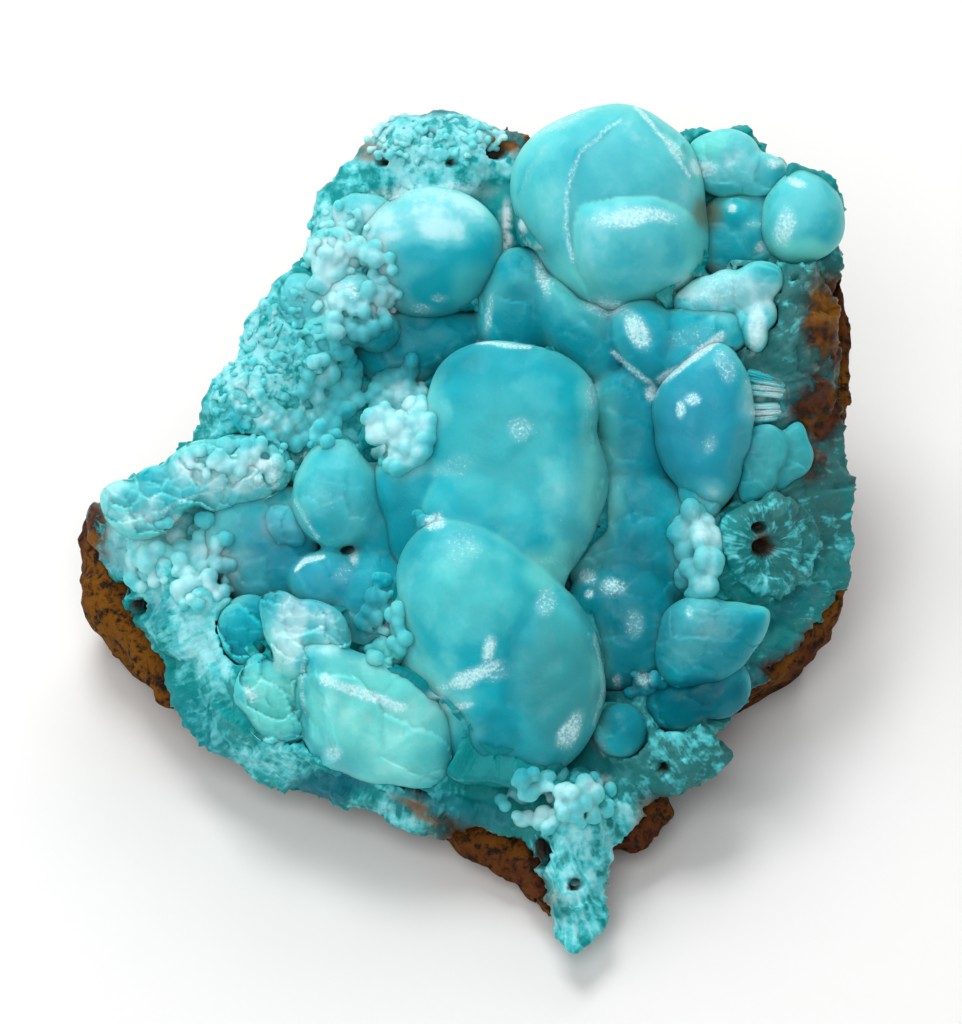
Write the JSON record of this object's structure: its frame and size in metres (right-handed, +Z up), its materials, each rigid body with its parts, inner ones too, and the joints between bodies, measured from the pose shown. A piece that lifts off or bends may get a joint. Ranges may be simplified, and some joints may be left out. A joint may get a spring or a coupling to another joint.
{
  "type": "smithsonite specimen",
  "caption": "Smithsonite specimen: a blue-green crust of rounded lobes and small balls that lines a hollow in brown limonite rock, resting on its flat underside.",
  "frame": {"origin": "on the surface that the specimen rests on, under the middle of its bounding box", "axes": "+Z up from the flat underside, -Y towards the low front tip of the sloping display side, +X to the right as seen from the front"},
  "size_m": [0.0805, 0.0827, 0.0471],
  "materials": {
    "smithsonite": "satin",
    "limonite": "matte"
  },
  "bodies": {
    "root": {"smithsonite_crust": "smithsonite", "limonite_matrix": "limonite"}
  },
  "joints": []
}
